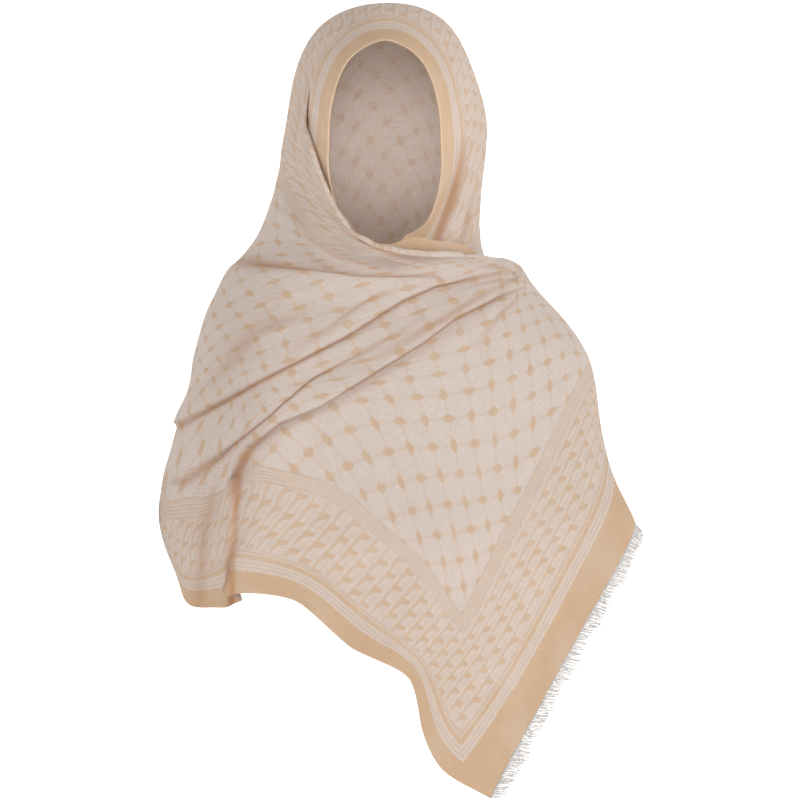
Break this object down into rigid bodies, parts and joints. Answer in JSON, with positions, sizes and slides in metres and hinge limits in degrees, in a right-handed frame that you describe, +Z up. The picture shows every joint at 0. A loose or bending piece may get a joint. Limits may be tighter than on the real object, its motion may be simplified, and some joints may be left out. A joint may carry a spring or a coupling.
{
  "type": "shawl hijab",
  "caption": "Woven shawl worn as a hijab: open-faced hood, front wrapped under the chin, and one fringed end thrown over the shoulder.",
  "frame": {"origin": "top of the hood's crown, on the wearer's middle plane, where the head holds the shawl", "axes": "+Z up, the wearer faces -Y, +X towards the wearer's left"},
  "size_m": [0.4885, 0.2787, 0.8019],
  "materials": {
    "patterned_cloth": "matt yarn-dyed weave, off-white with peach net and leaf pattern",
    "border_cloth": "matt plain peach border",
    "fringe": "short pale frayed yarn ends"
  },
  "bodies": {
    "root": {"hood": "patterned_cloth", "back_drape": "patterned_cloth", "front_wrap": "patterned_cloth", "end_fall": "patterned_cloth", "shoulder_tail": "patterned_cloth", "neck_band": "border_cloth", "inner_end": "patterned_cloth", "fringe_outer": "fringe", "fringe_tail": "fringe", "fringe_inner": "fringe"}
  },
  "joints": []
}
